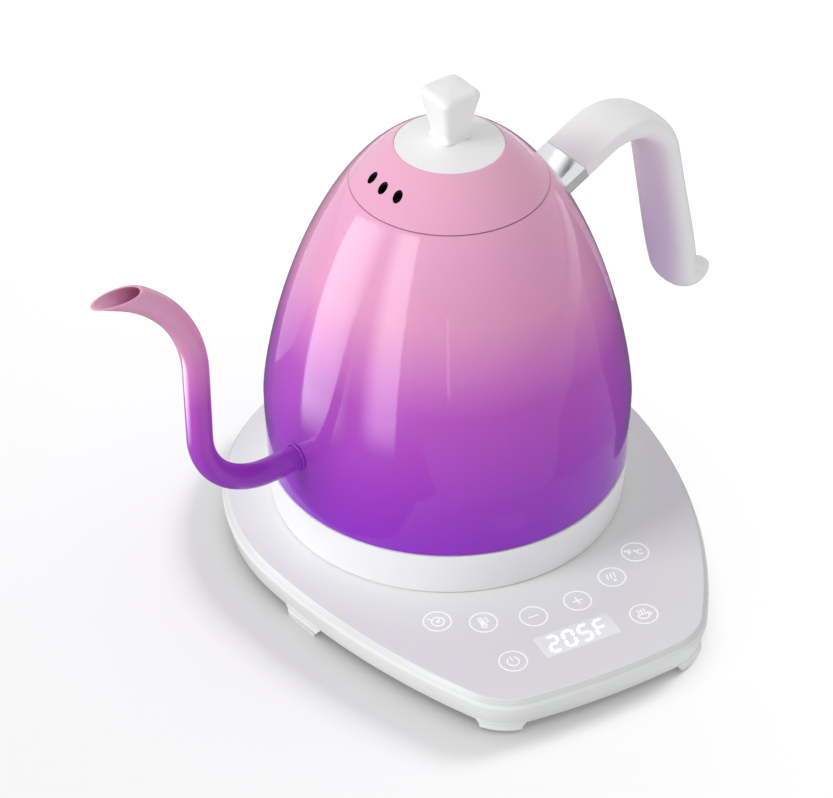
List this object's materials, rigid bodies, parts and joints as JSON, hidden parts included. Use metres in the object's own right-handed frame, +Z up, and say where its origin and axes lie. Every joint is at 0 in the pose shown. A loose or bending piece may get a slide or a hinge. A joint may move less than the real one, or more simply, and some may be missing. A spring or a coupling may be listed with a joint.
{
  "type": "electric gooseneck kettle",
  "caption": "Egg-shaped electric pour-over kettle with a gooseneck spout, drop handle and lift-off lid, on a touch-control power base it swivels on and lifts from.",
  "frame": {"origin": "bottom centre of the whole set's box, on the table", "axes": "+Z up, +X across the base to the right towards the handle, -Y towards the base's front edge with the controls"},
  "size_m": [0.2902, 0.2242, 0.2034],
  "materials": {
    "body_paint": "gloss",
    "lid_paint": "gloss",
    "white_satin": "satin",
    "panel_grey": "satin gloss",
    "steel": "brushed",
    "bracket_steel": "polished",
    "fastener_steel": "plain",
    "spreader": "plain",
    "contact_brass": "plain",
    "black_plastic": "matt",
    "pad_rubber": "matt",
    "rubber": "matt",
    "silicone": "matt",
    "board": "satin",
    "component": "satin",
    "display": "gloss"
  },
  "bodies": {
    "base": {"base_top_panel": "panel_grey", "base_bottom_tray": "white_satin", "connector_plug": "black_plastic", "plug_ring_contact": "contact_brass", "plug_centre_contact": "contact_brass", "control_board": "board", "display_module": "display", "touch_pad_1": "contact_brass", "touch_pad_2": "contact_brass", "touch_pad_3": "contact_brass", "touch_pad_4": "contact_brass", "touch_pad_5": "contact_brass", "touch_pad_6": "contact_brass", "touch_pad_7": "contact_brass", "touch_pad_8": "contact_brass", "power_board": "board", "relay": "component", "transformer": "black_plastic", "filter_capacitor": "component", "buzzer": "black_plastic", "cord_grommet": "rubber", "foot_pad_1": "pad_rubber", "foot_pad_2": "pad_rubber", "foot_pad_3": "pad_rubber", "foot_pad_4": "pad_rubber", "foot_pad_5": "pad_rubber", "foot_pad_6": "pad_rubber", "housing_screw_1": "fastener_steel", "housing_screw_2": "fastener_steel", "housing_screw_3": "fastener_steel", "housing_screw_4": "fastener_steel"},
    "coupler": {"coupler_socket": "black_plastic", "socket_ring_contact": "contact_brass", "socket_centre_pin": "contact_brass"},
    "kettle": {"kettle_shell": "body_paint", "mouth_collar": "steel", "kettle_floor": "steel", "heat_spreader": "spreader", "heating_element": "steel", "boil_dry_thermostat": "black_plastic", "temperature_probe": "steel", "probe_seal": "silicone", "skirt_ring": "white_satin", "bottom_cover": "white_satin", "cover_screw_1": "fastener_steel", "cover_screw_2": "fastener_steel", "cover_screw_3": "fastener_steel", "spout_tube": "body_paint", "spout_collar": "body_paint", "handle_bracket": "bracket_steel", "handle_grip": "white_satin", "handle_screw_1": "fastener_steel", "handle_screw_2": "fastener_steel"},
    "lid": {"lid_shell": "lid_paint", "lid_liner": "steel", "lid_gasket": "silicone", "lid_cap": "white_satin", "lid_knob": "white_satin", "knob_screw": "fastener_steel"}
  },
  "joints": [
    {"name": "kettle_lift", "type": "slide", "parent": "base", "child": "coupler", "axis": [0, 0, 1], "range_m": [0, 0.25]},
    {"name": "kettle_swivel", "type": "hinge", "parent": "coupler", "child": "kettle", "pos_m": [0.00964, 0.01985, 0.02], "axis": [0, 0, 1], "continuous": true},
    {"name": "lid_lift", "type": "slide", "parent": "kettle", "child": "lid", "axis": [0, 0, 1], "range_m": [0, 0.12]}
  ]
}
